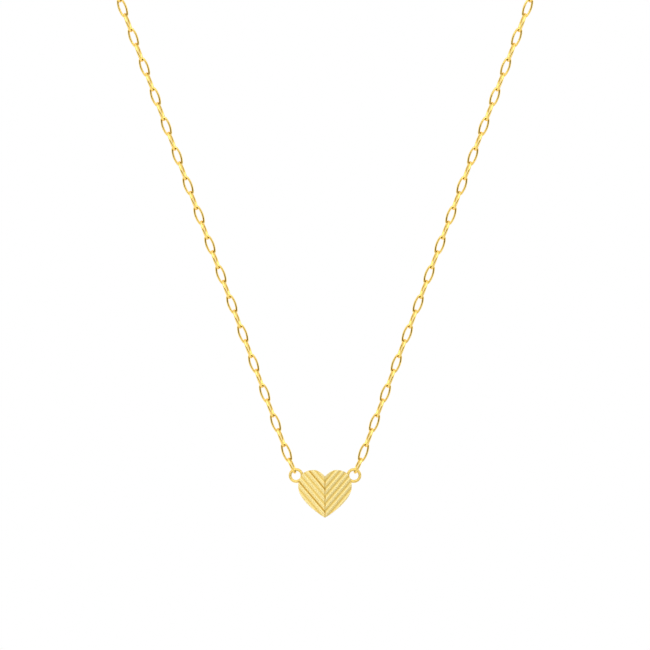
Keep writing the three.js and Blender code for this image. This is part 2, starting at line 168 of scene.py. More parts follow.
def add_piece(name, mesh, finish, slot, body, *nodes):
    """Shows a mesh as a piece of the object, riding on a body in place of frame nodes."""
    piece = bpy.data.objects.new(name, mesh)
    bpy.context.scene.collection.objects.link(piece)
    mesh.materials.clear()
    mesh.materials.append(finish)
    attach(piece, body)
    if nodes:
        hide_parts(*nodes)
    return piece


def welded(mesh, gap=2e-7):
    """Merges a mesh's doubled points, and turns every face outward."""
    work = bmesh.new()
    work.from_mesh(mesh)
    bmesh.ops.remove_doubles(work, verts=work.verts, dist=gap)
    bmesh.ops.dissolve_degenerate(work, edges=work.edges, dist=gap)
    bmesh.ops.recalc_face_normals(work, faces=work.faces)
    work.to_mesh(mesh)
    work.free()
    return mesh


def finished_by(mesh, steps):
    """The mesh after a list of modifiers, each a type and its settings."""
    holder = bpy.data.objects.new("holder", mesh)
    bpy.context.scene.collection.objects.link(holder)
    for kind, settings in steps:
        modifier = holder.modifiers.new(kind.lower(), kind)
        for key, value in settings.items():
            setattr(modifier, key, value)
    depsgraph = bpy.context.evaluated_depsgraph_get()
    made = bpy.data.meshes.new_from_object(holder.evaluated_get(depsgraph))
    bpy.data.objects.remove(holder)
    return made


def tube(path, normal, across, radius_normal, radius_across, sides, power=1.0, closed=True):
    """A section carried along a path, as points and the angle round the section.

    At each path point the surface is path + rn cos(a)|cos(a)|^(power-1) normal
    + ra sin(a)|sin(a)|^(power-1) across, for a from 0 to a full turn. A power of 1 gives an
    ellipse, and a smaller one a rounder-cornered box.
    """
    angle = np.arange(sides) / sides * 2 * math.pi
    cos, sin = np.cos(angle), np.sin(angle)
    cos = np.sign(cos) * np.abs(cos) ** power
    sin = np.sign(sin) * np.abs(sin) ** power
    rn = np.broadcast_to(radius_normal, len(path))[:, None, None]
    ra = np.broadcast_to(radius_across, len(path))[:, None, None]
    points = (path[:, None] + rn * cos[None, :, None] * normal[:, None]
              + ra * sin[None, :, None] * across[:, None])
    faces = grid_faces(len(path), sides, wrap_rows=closed, wrap_columns=True)
    return points.reshape(-1, 3), faces, angle


# ---------------------------------------------------------------- sizes

def millimetres(name, value, description):
    """A length property with its default in millimetres."""
    return bpy.props.FloatProperty(
        name=name, description=description, default=value * MM, unit="LENGTH", precision=6)


def metres(name, value, description):
    """A length property with its default in metres."""
    return bpy.props.FloatProperty(
        name=name, description=description, default=value, unit="LENGTH")


def degrees(name, value, description):
    """An angle property with its default in degrees."""
    return bpy.props.FloatProperty(
        name=name, description=description, default=math.radians(value), subtype="ANGLE")


def factor(name, value, description):
    """A share, with no unit."""
    return bpy.props.FloatProperty(
        name=name, description=description, default=value, subtype="FACTOR")


def number(name, value, description):
    """A plain number."""
    return bpy.props.FloatProperty(name=name, description=description, default=value)


def from_to(name, values, description):
    """A range between two plain numbers."""
    return bpy.props.FloatVectorProperty(
        name=name, description=description, size=2, default=values)


def colour(name, value, description):
    """A colour property."""
    return bpy.props.FloatVectorProperty(
        name=name, description=description, default=value, subtype="COLOR")


class ChainSizes(bpy.types.PropertyGroup):
    """Sizes of the chain's links."""

    wire: millimetres("Wire", 0.34, "Diameter of a link's wire")
    width: millimetres("Width", 1.38, "Outer width of a link")
    play: millimetres("Play", 0.028, "Slack between two hooked links")
    end_bend: millimetres("End bend", 0.36, "Bend radius at a link's ends")
    pendant_length: millimetres("Pendant link", 2.62, "Length of the short link at each ring")
    pendant_bend: millimetres("Pendant link bend", 0.43, "Bend radius of the short link")
    fastener_bend: millimetres("Fastener link bend", 0.46, "Bend radius of the fastener link")
    edge_twist: degrees("Edge twist", 20, "How far the edge-on links turn about the strand")
    seam_swell: factor("Seam swell", 0.05, "How far the soldered seam swells the wire")
    seam_length: factor("Seam length", 0.02, "Length of the seam as a share of the way round")
    # painted shade: where the dark hooked end of a link starts, as a share of the reach
    shade_from: factor("Rubbed from", 0.62, "Where the rubbed end starts, as a share of the reach")


class PendantSizes(bpy.types.PropertyGroup):
    """Sizes of the heart and its rings."""

    half_width: millimetres("Half width", 4, "From the centre line to the widest point")
    notch: millimetres("Notch", -0.13, "Height of the notch over the rings' middle")
    tip: millimetres("Tip", -6.31, "Height of the tip over the rings' middle")
    front: millimetres("Front", 0.52, "How far the pleats' ridges stand forward")
    back: millimetres("Back", 0.38, "How far the flat back stands behind")
    pleat_pitch: millimetres("Pleat pitch", 1.13, "Pleat spacing on the centre line")
    pleat_depth: millimetres("Pleat depth", 0.16, "Depth of the pleats' valleys")
    first_valley: millimetres("First valley", 0.77, "The first valley's drop below the notch")
    # these valleys are cut deeper, and through the ridge value their colour also gets painted shade
    deep_valleys: bpy.props.IntVectorProperty(
        name="Deep valleys", description="Which valleys of the left half are struck deeper",
        size=2, default=(1, 4))
    deepening: factor("Deepening", 0.35, "How much deeper they are, as a share of the pleat")
    deep_width: factor("Deep width", 0.09, "Their half width, as a share of the pleats' pitch")
    crease_depth: millimetres("Crease depth", 0.07, "Depth of the crease on the centre line")
    crease_width: millimetres("Crease width", 0.09, "Half width of the crease")
    # painted shade in the crease
    crease_shading: factor("Crease dulling", 0.6, "How dull the crease is")
    rim: millimetres("Rim", 0.07, "Rounding of the plate's edge")
    # painted shade along the plate's edge
    rim_shading: factor("Rim dulling", 0.4, "How dull the plate's edge is")
    back_shade: factor("Back shade", 0.6, "Colour of the back, from deep gold to a ridge's")
    seat_gap: millimetres("Seat gap", 0.03, "Clearance of a ring in its seat")
    tumbled: millimetres("Tumbled", 0.012, "What tumbling takes off a shoulder ring's thickness")
    pleat_angle: degrees("Pleat angle", 49.5, "Rise of the pleats from level")


class FastenerSizes(bpy.types.PropertyGroup):
    """Sizes of the claw's finishing."""

    grain: millimetres("Cast grain", 0.045, "Mesh size of the cast claw")
    spring_wire: millimetres("Spring wire", 0.1, "Diameter of the spring's wire")
    spring_radius: millimetres("Spring radius", 0.22, "Radius of the spring's coil")
    spring_turns: number("Spring turns", 3.6, "Turns of the return spring")
    spring_closing: factor("Spring closing", 0.35, "How much flatter the spring's end turns lie")
    pin_dome: factor("Pin dome", 0.35, "Height of the pin's heads as a share of its radius")
    polished: millimetres("Polished", 0.012, "What polishing takes off a ring's wire")
    seam_dip: factor("Seam dip", 0.07, "Depth of a ring's closed seam as a share of its wire")


class StudioSizes(bpy.types.PropertyGroup):
    """The studio: camera, floor, soft light, white surround and two boards that metal reflects."""

    distance: metres("Camera distance", 1.5, "From the camera to the necklace")
    picture: millimetres("Picture", 97.2, "Width that the picture takes in at the necklace")
    aim: millimetres("Aim", 22.5, "Height of the picture's middle over the rings")
    floor_drop: millimetres("Floor drop", 160, "From the heart's tip down to the floor")
    floor_radius: metres("Floor radius", 0.84, "Radius of the floor")
    floor_colour: colour("Floor colour", (0.95, 0.948, 0.94), "Colour of the floor")
    surround: number("Surround", 1.0, "Brightness of the white surround")
    front_board: number("Front board", 0.03, "Brightness of the dark board around the camera")
    front_turns: from_to("Front turns", (-48, 48), "Its sides, in degrees right of the camera")
    front_rises: from_to("Front rises", (-9, 9), "Its lower and upper edge, in degrees")
    front_distance: metres("Front distance", 1.2, "From the picture's middle to the front board")
    low_board: number("Low board", 0.7, "Brightness of the board at the lower right")
    low_turns: from_to("Low turns", (15, 80), "Its sides, in degrees right of the camera")
    low_rises: from_to("Low rises", (-65, -14), "Its lower and upper edge, in degrees")
    low_distance: metres("Low distance", 0.15, "From the rings' middle to the low board")
    light_power: bpy.props.FloatProperty(
        name="Light power", description="Power of the soft light", default=3.0, unit="POWER")
    light_width: metres("Light width", 0.9, "Width of the soft light")
    light_depth: metres("Light depth", 0.4, "Depth of the soft light")
    light_forward: metres("Light forward", 1.1, "How far the light stands in front")
    light_height: metres("Light height", 0.5, "Height of the light over the rings")
    light_tilt: degrees("Light tilt", 66, "How far the light is tipped up from straight down")


class GoldColours(bpy.types.PropertyGroup):
    """Colours of the metals."""

    pale: colour("Pale gold", (1.0, 0.775, 0.27), "Freshly polished gold")
    wire: colour("Wire gold", (1.0, 0.72, 0.2), "Warmer gold of the drawn wire")
    # a paler gold that paints the highlight on the pleats' ridges
    crest_highlight: colour("Crest", (1.0, 0.83, 0.38), "Gold burnished on the pleats' ridges")
    # deep gold paints shade in the heart's valleys; on the other pieces it marks random patches
    deep: colour("Deep gold", (0.84, 0.62, 0.17), "Gold in valleys and where hands touch it")
    # a dark gold that paints shade where links hook together, in the heart's crease, its deeper
    # valleys and along its edge
    painted_shade: colour("Tarnish", (0.36, 0.28, 0.09), "Dulled gold, where links rub and in the crease")
    steel: colour("Steel", (0.56, 0.54, 0.5), "Drawn spring steel")


GROUPS = {
    "necklace_chain": ChainSizes,
    "necklace_pendant": PendantSizes,
    "necklace_fastener": FastenerSizes,
    "necklace_studio": StudioSizes,
    "necklace_colours": GoldColours,
}


# ---------------------------------------------------------------- finishes

class Field:
    """One value over a surface; arithmetic on it adds the Math nodes."""

    def __init__(self, finish, socket):
        self.finish = finish
        self.socket = socket

    def with_other(self, operation, first, second):
        return self.finish.add("ShaderNodeMath", {"operation": operation}, {0: first, 1: second})

    def __add__(self, other):
        return self.with_other("ADD", self, other)

    def __sub__(self, other):
        return self.with_other("SUBTRACT", self, other)

    def __rsub__(self, other):
        return self.with_other("SUBTRACT", other, self)

    def __mul__(self, other):
        return self.with_other("MULTIPLY", self, other)

    __radd__ = __add__
    __rmul__ = __mul__


class Finish:
    """A material's node tree."""

    def __init__(self, name):
        self.material = bpy.data.materials.new(name)
        self.material.use_nodes = True
        self.nodes = self.material.node_tree.nodes
        self.links = self.material.node_tree.links
        self.shader = self.nodes["Principled BSDF"]

    def add(self, kind, settings=None, inputs=None, output=0):
        """Adds a node, sets it, and gives its sockets values or links."""
        node = self.nodes.new(kind)
        for key, value in (settings or {}).items():
            setattr(node, key, value)
        for key, value in (inputs or {}).items():
            self.feed(node.inputs[key], value)
        return Field(self, node.outputs[output])

    def feed(self, socket, value):
        if isinstance(value, Field):
            self.links.new(value.socket, socket)
        else:
            socket.default_value = value

    def set(self, **values):
        for key, value in values.items():
            self.feed(self.shader.inputs[key.replace("_", " ")], value)

    def place(self, scale):
        """Object coordinates, scaled."""
        here = self.add("ShaderNodeTexCoord", output="Object")
        return self.add("ShaderNodeMapping", inputs={"Vector": here, "Scale": scale})

    def grain(self, scale):
        """The piece's own grain coordinates, scaled: the third runs along the metal."""
        here = self.add("ShaderNodeAttribute", {"attribute_name": "grain"}, output="Vector")
        return self.add("ShaderNodeMapping", inputs={"Vector": here, "Scale": scale})

    def noise(self, vector, scale, detail=2.0):
        return self.add("ShaderNodeTexNoise", inputs={
            "Vector": vector, "Scale": scale, "Detail": detail})

    def mix(self, factor, first, second):
        """A colour between two others, each a field or three numbers."""
        first, second = (c if isinstance(c, Field) else (*c, 1) for c in (first, second))
        return self.add("ShaderNodeMix", {"data_type": "RGBA"}, {
            "Factor": factor, 6: first, 7: second}, output=2)

    def range(self, value, low, high, to_low=0.0, to_high=1.0):
        """The value's stretch from low to high, spread smoothly over another."""
        return self.add("ShaderNodeMapRange", {"interpolation_type": "SMOOTHSTEP"}, {
            "Value": value, "From Min": low, "From Max": high, "To Min": to_low, "To Max": to_high})

    def bump(self, height, distance):
        return self.add("ShaderNodeBump", inputs={
            "Height": height, "Distance": distance, "Strength": 1.0})


def colours():
    return bpy.context.scene.necklace_colours


def chain_finish():
    """Mirror-polished wire: faint lines from drawing, deeper gold in patches of wear, and painted
    shade where the links hook together.
    """
    gold = colours()
    finish = Finish("chain_gold_polish")
    lines = finish.noise(finish.grain((1.0, 1.0, 0.12)), 3.0, 3.0)
    cloud = finish.noise(finish.place((1, 1, 1)), 900.0, 3.0)
    hook = finish.add("ShaderNodeAttribute", {"attribute_name": "hook"}, output="Fac")
    # painted shade: the hooked ends, between the links, are mixed towards the dark shade gold
    shade = finish.range(hook + cloud * 0.2, 0.4, 0.95)
    metal = finish.mix(finish.range(cloud, 0.35, 0.75) * 0.35, gold.wire, gold.deep)
    finish.set(
        Base_Color=finish.mix(shade, metal, gold.painted_shade),
        Metallic=1.0,
        Roughness=finish.range(lines, 0.3, 0.75, 0.07, 0.16),
        Normal=finish.bump(lines, 0.8e-6),
    )
    return finish.material


def pendant_finish():
    """Bright-cut gold: fine tool lines along the pleats, a paler painted highlight on the ridges,
    and deeper colour down in the valleys as painted shade.

    Below the valleys' own height, in the crease and the deeper valleys, a darker painted shade is
    mixed in.
    """
    gold = colours()
    finish = Finish("pendant_gold_bright_cut")
    lines = finish.noise(finish.grain((1.0, 1.0, 0.05)), 22.0, 4.0)
    satin = finish.noise(finish.place((1, 1, 1)), 2600.0, 3.0)
    height = finish.add("ShaderNodeAttribute", {"attribute_name": "ridge"}, output="Fac")
    # painted highlight on the ridges and painted shade in the valleys, set by the ridge value
    low = 1 - finish.range(height, 0.1, 1.0)
    metal = finish.mix(low * 0.9 + satin * 0.05, gold.crest_highlight, gold.deep)
    # painted shade, darker still, where the ridge value falls below a valley's
    shaded = 1 - finish.range(height, -0.8, 0.0)
    finish.set(
        Base_Color=finish.mix(shaded, metal, gold.painted_shade),
        Metallic=1.0,
        Roughness=finish.range(lines, 0.3, 0.7, 0.4, 0.46) + satin * 0.04,
        Normal=finish.bump(lines + satin * 0.2, 0.5e-6),
    )
    return finish.material


def ring_finish():
    """Softly tumbled gold of the shoulder rings."""
    gold = colours()
    finish = Finish("ring_gold_tumbled")
    satin = finish.noise(finish.place((1, 1, 1)), 3000.0, 4.0)
    cloud = finish.noise(finish.place((1, 1, 1)), 700.0, 2.0)
    finish.set(
        Base_Color=finish.mix(finish.range(cloud, 0.3, 0.7, 0.6, 0.9), gold.pale, gold.deep),
        Metallic=1.0,
        Roughness=finish.range(satin, 0.3, 0.7, 0.4, 0.5),
        Normal=finish.bump(satin, 0.7e-6),
    )
    return finish.material


def clasp_finish():
    """Cast and brushed gold: a faint orange-peel surface, fine scratches and worn patches."""
    gold = colours()
    finish = Finish("clasp_gold_cast")
    peel = finish.noise(finish.place((1, 1, 1)), 1500.0, 2.0)
    scratch = finish.noise(finish.place((0.3, 1, 1)), 6000.0, 3.0)
    cloud = finish.noise(finish.place((1, 1, 1)), 350.0, 3.0)
    finish.set(
        Base_Color=finish.mix(finish.range(cloud, 0.4, 0.7) * 0.35, gold.pale, gold.deep),
        Metallic=1.0,
        Roughness=finish.range(scratch, 0.35, 0.7, 0.34, 0.42),
        Normal=finish.bump(peel + scratch * 0.2, 1.2e-6),
    )
    return finish.material


def spring_finish():
    """Drawn steel wire with its die lines."""
    finish = Finish("spring_steel_drawn")
    lines = finish.noise(finish.grain((1.0, 1.0, 0.08)), 3.5, 3.0)
    steel = colours().steel
    finish.set(
        Base_Color=finish.mix(lines, steel, [0.75 * value for value in steel]),
        Metallic=1.0,
        Roughness=finish.range(lines, 0.3, 0.7, 0.24, 0.4),
        Normal=finish.bump(lines, 1e-6),
    )
    return finish.material


def floor_finish():
    """A plain pale board with the faintest mottle."""
    finish = Finish("floor_board_pale")
    mottle = finish.noise(finish.place((1, 1, 1)), 9.0, 4.0)
    pale = bpy.context.scene.necklace_studio.floor_colour
    finish.set(
        Base_Color=finish.mix(mottle * 0.3, pale, [0.97 * value for value in pale]),
        Roughness=0.9,
    )
    return finish.material


FINISHES = {}


def finish_named(make):
    """Each finish is made once and shared by like pieces."""
    if make.__name__ not in FINISHES:
        FINISHES[make.__name__] = make()
    return FINISHES[make.__name__]


# ---------------------------------------------------------------- chain

def oval_path(reach, bend, half, steps):
    """The middle of a link's wire and its outward direction, in the link's own plane.

    Two end arcs of the bend radius are joined by two shallow side arcs that touch them. A third
    of the steps goes to each end arc and a sixth to each side arc's half.
    """
    end = reach - bend
    side_radius = (end ** 2 + half ** 2 - bend ** 2) / (2 * (half - bend))
    drop = side_radius - half
    sweep = math.atan2(drop, end)
    t = np.arange(steps) / steps
    sign = np.where(t < 0.5, 1.0, -1.0)
    within = (t % 0.5) * 2
    first, last = within <= 1 / 3, within >= 2 / 3
    angle = np.where(first, sweep * within * 3, -sweep * (1 - within) * 3)
    flip = np.where(last, -sign, sign)
    across = (within - 0.5) * 6 * (math.pi / 2 - sweep)
    ends = first | last
    x = np.where(ends, flip * (end + bend * np.cos(angle)), -sign * side_radius * np.sin(across))
    y = np.where(ends, flip * bend * np.sin(angle), sign * (side_radius * np.cos(across) - drop))
    out_x = np.where(ends, flip * np.cos(angle), -sign * np.sin(across))
    out_y = np.where(ends, flip * np.sin(angle), sign * np.cos(across))
    return np.stack([x, y], 1), np.stack([out_x, out_y], 1)


def link_surface(number, loop, steps, sides):
    """One link's points, quads, grain and hook.

    The wire's round section is carried along the oval. Its radius swells by the seam's share
    within a short stretch at the middle of one side, where the link is soldered. The hook value
    is painted shade: it grows as the square of the way into an end bend, on the inner side where
    the next link hooks through.
    """
    chain = bpy.context.scene.necklace_chain
    reach = (loop.pitch + chain.wire + chain.play) / 2
    bend = chain.end_bend
    distance = loop.start + (number - 2) * loop.pitch
    if number == 1:
        reach = (chain.pendant_length - chain.wire) / 2
        bend = chain.pendant_bend
    elif number == loop.links:
        bend = chain.fastener_bend
    centre, along = loop.at(distance)
    if number == 1:
        second, strand = loop.at(loop.start)
        hook = second - strand * ((loop.pitch - chain.wire - chain.play) / 2)
        centre = loop.first
        along = (hook - centre) / np.linalg.norm(hook - centre)
    front = np.array((0.0, -1.0, 0.0))
    normal = front
    if number % 2:
        sidelong = np.cross(front, along)
        twist = loop.side * chain.edge_twist
        normal = math.cos(twist) * sidelong + math.sin(twist) * np.cross(along, sidelong)
    width = np.cross(normal, along)
    flat, outward = oval_path(reach, bend, (chain.width - chain.wire) / 2, steps)
    turn = np.stack([along, width])
    from_seam = np.arange(steps) / steps - 0.25
    swell = 1 + chain.seam_swell * np.exp(-(from_seam / chain.seam_length) ** 2)
    path = centre + flat @ turn
    across = np.broadcast_to(normal, path.shape)
    radius = chain.wire / 2 * swell
    points, faces, angle = tube(path, outward @ turn, across, radius, radius, sides)
    length = np.linalg.norm(np.roll(path, -1, 0) - path, axis=1).cumsum() / chain.wire
    grain = np.stack([
        np.broadcast_to(np.cos(angle), (steps, sides)) + number,
        np.broadcast_to(np.sin(angle), (steps, sides)) + 3 * loop.side,
        np.broadcast_to(length[:, None], (steps, sides)),
    ], 2).reshape(-1, 3)
    # painted shade on the inner side of each end bend, where the next link passes through
    into = (np.abs(flat[:, 0]) / reach - chain.shade_from) / (1 - chain.shade_from)
    hook = (np.clip(into, 0, 1)[:, None] ** 2 * (0.5 - 0.5 * np.cos(angle))).ravel()
    return points, faces, grain, hook


def links_mesh(name, numbers, loop, steps, sides):
    """Several links as one mesh."""
    made = [link_surface(number, loop, steps, sides) for number in numbers]
    each = steps * sides
    points, faces, grain, hook = (list(column) for column in zip(*made))
    faces = np.concatenate([quads + i * each for i, quads in enumerate(faces)])
    return new_mesh(name, np.concatenate(points), faces,
                    grain=np.concatenate(grain), hook=np.concatenate(hook))


class NECKLACE_OT_single_links(bpy.types.Operator):
    """Makes the links that move, and the link at each side of the fastener"""

    bl_idname = "necklace.single_links"
    bl_label = "Single Links"

    def execute(self, context):
        finish = finish_named(chain_finish)
        for where, loop in LOOP.items():
            for number in [*range(1, SINGLE_LINKS + 1), loop.links]:
                node = f"link_{where}_{number:02d}"
                body = f"link_pair_{number:02d}"
                if number == loop.links:
                    node = f"fastener_link_{where}"
                if number >= SINGLE_LINKS:
                    body = "neck_chain"
                mesh = links_mesh(node, [number], loop, 48, 14)
                add_piece(f"{node}_wire", mesh, finish, "chain_gold", body, node)
        return {"FINISHED"}


class NECKLACE_OT_neck_links(bpy.types.Operator):
    """Makes the interlocked links of the upper strands and of the turn over the neck"""

    bl_idname = "necklace.neck_links"
    bl_label = "Neck Links"

    def execute(self, context):
        finish = finish_named(chain_finish)
        for where, loop in LOOP.items():
            numbers = range(SINGLE_LINKS + 1, loop.links)
            top = 2 + int((loop.straight - loop.start) / loop.pitch)
            runs = {
                "chain_upper": [n for n in numbers if n <= top],
                "chain_neck": [n for n in numbers if n > top],
            }
            for run, members in runs.items():
                mesh = links_mesh(run, members, loop, 36, 10)
                node = f"{run}_{where}"
                add_piece(f"{node}_links", mesh, finish, "chain_gold", "neck_chain", node)
        return {"FINISHED"}


# ---------------------------------------------------------------- pendant

def bezier(corners, steps):
    """A cubic curve: (1-t)^3 a + 3(1-t)^2 t b + 3(1-t) t^2 c + t^3 d."""
    t = np.linspace(0, 1, steps)[:, None]
    a, b, c, d = np.array(corners, float)
    return (1 - t) ** 3 * a + 3 * (1 - t) ** 2 * t * b + 3 * (1 - t) * t ** 2 * c + t ** 3 * d


def heart_edge(sizes):
    """The right half of the heart's outline, from the notch over the lobe and down to the tip."""
    lobe, flank = (1.7, 0.82), (sizes.half_width / MM, -1.66)
    notch, tip = (0, sizes.notch / MM), (0, sizes.tip / MM)
    curves = [
        bezier([notch, (0.42, notch[1] + 0.43), (lobe[0] - 0.7, lobe[1]), lobe], 120),
        bezier([lobe, (lobe[0] + 0.9, lobe[1]), (flank[0] + 0.1, flank[1] + 2.11), flank], 200),
        bezier([flank, (flank[0], flank[1] - 1.94), (1.2, tip[1] + 0.71), tip], 300),
    ]
    return np.concatenate([curves[0], curves[1][1:], curves[2][1:]]) * MM


def pleat_height(share):
    """Height of the pleats from 0 in a valley to 1 on a ridge, at a share of the way up a pleat.

    A broad face rises from the valley and curves over to the ridge, and a steep face falls to the
    next valley. The corners are rounded by averaging the faces over a short stretch.
    """
    places = np.array([0, 0.12, 0.27, 0.42, 0.56, 0.61])
    heights = np.array([0, 0.36, 0.68, 0.9, 1, 0.98])
    knots = np.concatenate([places - 1, places, places + 1]), np.tile(heights, 3)
    spread = np.linspace(-0.02, 0.02, 9)
    return np.mean([np.interp(share % 1.0 + offset, *knots) for offset in spread], 0)


def half_heart(sizes, side):
    """The grid of one half of the heart's front, laid along the pleats.

    A row is a pleat line, height = start + x tan(angle), and its points divide the stretch of it
    that lies inside the outline, closer together at both ends. Returns points as x, height,
    the row's place across the pleats and the point's distance from the outline.
    """
    edge = heart_edge(sizes)
    slope = math.tan(sizes.pleat_angle)
    start_of = edge[:, 1] - slope * edge[:, 0]
    lowest = int(np.argmin(start_of))
    valley = sizes.notch - sizes.first_valley
    shares = np.array([0, 0.015, 0.03, 0.06, 0.1, 0.14, 0.19, 0.25, 0.29, 0.34, 0.4, 0.44, 0.49,
                       0.53, 0.56, 0.58, 0.6, 0.62, 0.65, 0.72, 0.8, 0.88, 0.94, 0.97, 0.985])
    pleats = np.arange(-9, 3)
    starts = (valley + (pleats[:, None] + shares) * sizes.pleat_pitch).ravel()
    near = np.array([0, 0.01, 0.03, 0.06, 0.1]) * MM
    starts = np.concatenate([starts, start_of[lowest] + near, sizes.notch - near])
    starts = np.unique(starts.round(9))
    starts = starts[(starts >= start_of[lowest]) & (starts <= sizes.notch)]
    outer = np.interp(starts, start_of[lowest::-1], edge[lowest::-1, 0])
    inner = np.interp(starts, start_of[lowest:], edge[lowest:, 0])
    inner = np.where(starts >= sizes.tip, 0, inner)
    ring = centre_of("shoulder_ring_right")[0]
    hole = size_of("shoulder_ring_right")[0] / 2 - size_of("shoulder_ring_right")[1]
    # the pleat line meets the ring's hole where (x - ring)^2 + (start + slope x)^2 = hole^2
    a, b = 1 + slope ** 2, slope * starts - ring
    inside = b ** 2 - a * (ring ** 2 + starts ** 2 - hole ** 2)
    bite = (-b - np.sqrt(np.maximum(inside, 0))) / a
    outer = np.where(inside > 0, np.minimum(outer, bite), outer)
    ease = np.linspace(0, 1, 64)
    ease = 0.5 - 0.5 * np.cos(math.pi * (0.5 - 0.5 * np.cos(math.pi * ease)))
    x = inner[:, None] + (outer - inner)[:, None] * ease
    z = starts[:, None] + slope * x
    flat = np.stack([x, z], 2)
    edge_now = np.concatenate([edge, np.stack([outer, starts + slope * outer], 1)])
    gaps = [np.linalg.norm(row[:, None] - edge_now, axis=2).min(1) for row in flat]
    across = (starts - valley)[:, None] / sizes.pleat_pitch + 0 * x
    return side * x, z, across, np.array(gaps)


def heart_mesh(sizes):
    """The pleated plate as a closed mesh.

    Front depth is the pleats' height, less the crease on the centre line, rolled back over the
    rim by a quarter circle of the distance from the outline. The back is flat with the same rim,
    and a wall joins the two. The ridge value is the pleats' height, taken below nothing in the
    crease and towards the rim; it sets the pendant's painted highlight on the ridges and its
    painted shade in the valleys, in the crease and along the edge.
    """
    points, faces, grain, ridge = [], [], [], []
    total = 0
    middle = centre_of("shoulder_ring_left")[2]
    for side in SIDES.values():
        x, z, across, gap = half_heart(sizes, side)
        near = 1 - np.minimum(gap / sizes.rim, 1)
        roll = sizes.rim * (1 - np.sqrt(1 - near ** 2))
        height = pleat_height(across)
        if side < 0:
            for valley in sizes.deep_valleys:
                from_valley = (across + valley) / sizes.deep_width
                height = height - sizes.deepening * np.exp(-from_valley ** 2)
        from_crease = (x / sizes.crease_width) ** 2
        crease = sizes.crease_depth * np.exp(-2 * from_crease)
        front = -sizes.front + sizes.pleat_depth * (1 - height) + crease + roll
        back = sizes.back - roll
        # painted shade: the ridge value, and with it the colour, is lowered in the crease and
        # towards the edge
        creased = np.exp(-3 * from_crease)
        lit = height * (1 - creased) - sizes.crease_shading * creased
        lit = lit - sizes.rim_shading * near ** 2
        rows, columns = x.shape
        quads = grid_faces(rows, columns)
        along = np.hypot(x, z) / MM
        lines = np.stack([across * 4, 0 * across + side, along], 2).reshape(-1, 3)
        for y, shade in ((front, lit), (back, np.full_like(lit, sizes.back_shade))):
            points.append(np.stack([x, y, z + middle], 2).reshape(-1, 3))
            grain.append(lines)
            ridge.append(shade.ravel())
        faces += [quads + total, quads + total + rows * columns]
        ids = np.arange(rows * columns).reshape(rows, columns) + total
        for column, used in ((-1, np.ones(rows, bool)), (0, z[:, 0] < sizes.tip)):
            keep = np.flatnonzero(used[:-1])
            strip = ids[:, column]
            low, high = strip[keep], strip[keep + 1]
            faces.append(np.stack([low, high, high + rows * columns, low + rows * columns], 1))
        total += 2 * rows * columns
    return welded(new_mesh(
        "heart_pleated", np.concatenate(points), np.concatenate(faces),
        grain=np.concatenate(grain), ridge=np.concatenate(ridge)))


def round_bar(radius, front, back, x, z, sides=96):
    """A closed bar along y: rings of radius at both ends, closed to a point in the middle."""
    angle = np.arange(sides) / sides * 2 * math.pi
    radii = np.array([0, 1, 1, 0])[:, None] * radius
    depth = np.array([front, front, back, back])[:, None] + 0 * angle
    points = np.stack([x + radii * np.cos(angle), depth, z + radii * np.sin(angle)], 2)
    return welded(new_mesh("bar", points.reshape(-1, 3), grid_faces(4, sides, wrap_columns=True)))


class NECKLACE_OT_heart(bpy.types.Operator):
    """Makes the pleated heart plate, with its seats for the two rings cut from behind"""

    bl_idname = "necklace.heart"
    bl_label = "Heart"

    def execute(self, context):
        sizes = context.scene.necklace_pendant
        mesh = heart_mesh(sizes)
        for where in SIDES:
            ring = f"shoulder_ring_{where}"
            x, _, z = centre_of(ring)
            extent = size_of(ring)
            seat = extent[0] / 2 + sizes.seat_gap
            front = -extent[1] / 2 - sizes.seat_gap
            cutter = bpy.data.objects.new("cutter", round_bar(seat, front, 3 * sizes.back, x, z))
            context.scene.collection.objects.link(cutter)
            mesh = finished_by(mesh, [("BOOLEAN", {
                "operation": "DIFFERENCE", "object": cutter, "solver": "EXACT"})])
            bpy.data.objects.remove(cutter)
        mesh.name = "heart_pleated"
        mesh.set_sharp_from_angle(angle=math.radians(40))
        add_piece("heart_pleated", mesh, finish_named(pendant_finish), "pendant_gold",
                  "pendant", "heart_plate")
        return {"FINISHED"}


def ring_mesh(name, centre, plane, radius, thick, wide, power, seam_at, dip, steps=96, sides=24):
    """A ring whose section has rounded flat faces, with a shallow groove where it was closed.

    The section is thick through the ring's plane and wide across it. Both shrink by the dip
    within a short stretch at the seam.
    """
    u, v = np.array(plane, float)
    axis = np.cross(u, v)
    turn = np.arange(steps) / steps * 2 * math.pi
    outward = np.cos(turn)[:, None] * u + np.sin(turn)[:, None] * v
    off = (turn - seam_at + math.pi) % (2 * math.pi) - math.pi
    closed = 1 - dip * np.exp(-(off / 0.035) ** 2)
    path = np.array(centre) + radius * outward
    across = np.broadcast_to(axis, path.shape)
    points, faces, angle = tube(
        path, outward, across, wide / 2 * closed, thick / 2 * closed, sides, power)
    grain = np.stack([
        np.broadcast_to(np.cos(angle), (steps, sides)),
        np.broadcast_to(np.sin(angle), (steps, sides)),
        np.broadcast_to((turn * radius / thick)[:, None], (steps, sides)),
    ], 2).reshape(-1, 3)
    return welded(new_mesh(name, points, faces, grain=grain))


class NECKLACE_OT_shoulder_rings(bpy.types.Operator):
    """Makes the two rings that the strands hook into"""

    bl_idname = "necklace.shoulder_rings"
    bl_label = "Shoulder Rings"

    def execute(self, context):
        for where in SIDES:
            node = f"shoulder_ring_{where}"
            radius = (size_of(node)[0] - size_of(node)[1]) / 2
            thick = size_of(node)[1] - context.scene.necklace_pendant.tumbled
            mesh = ring_mesh(node, centre_of(node), ((1, 0, 0), (0, 0, 1)), radius,
                             thick, thick, 0.85, 0, 0)
            add_piece(f"{node}_band", mesh, finish_named(ring_finish), "pendant_gold",
                      "pendant", node)
        return {"FINISHED"}


